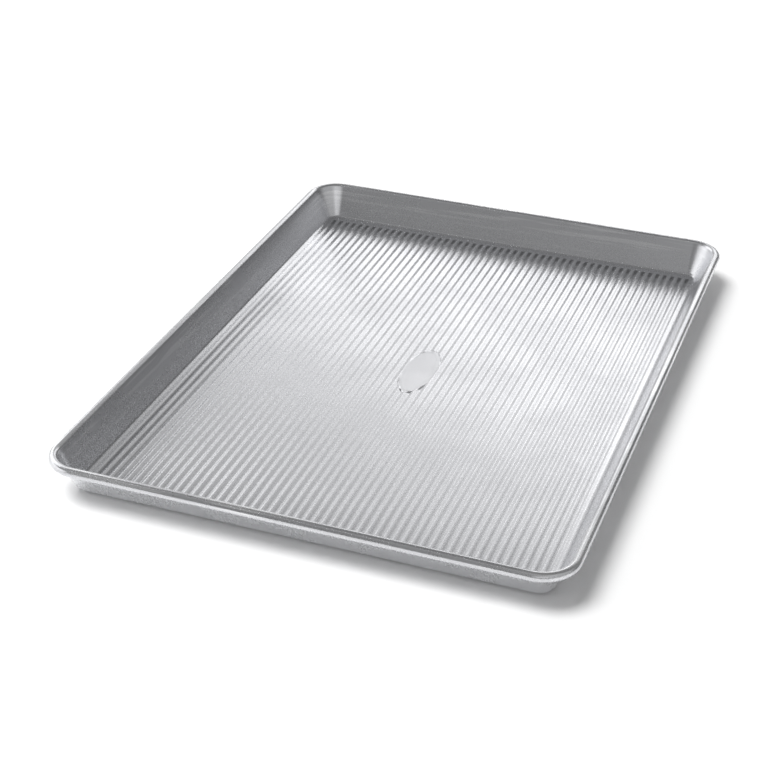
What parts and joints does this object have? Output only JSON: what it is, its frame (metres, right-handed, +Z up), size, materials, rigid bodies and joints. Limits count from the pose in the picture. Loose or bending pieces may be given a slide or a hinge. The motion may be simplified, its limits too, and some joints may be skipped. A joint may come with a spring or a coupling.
{
  "type": "sheet pan",
  "caption": "Shallow rectangular baking sheet with a fluted floor, flared walls, rounded corners and a rolled rim stiffened by a wire ring.",
  "frame": {"origin": "under the middle of the pan, on the plane that it rests on", "axes": "+Z up out of the open side, +Y along the flutes and the long sides, +X across the flutes"},
  "size_m": [0.3302, 0.4572, 0.0254],
  "materials": {
    "sheet_steel": "satin silver-grey coated steel with soft reflections",
    "wire_steel": "plain drawn steel wire"
  },
  "bodies": {
    "root": {"pan_shell": "sheet_steel", "rim_wire": "wire_steel"}
  },
  "joints": []
}
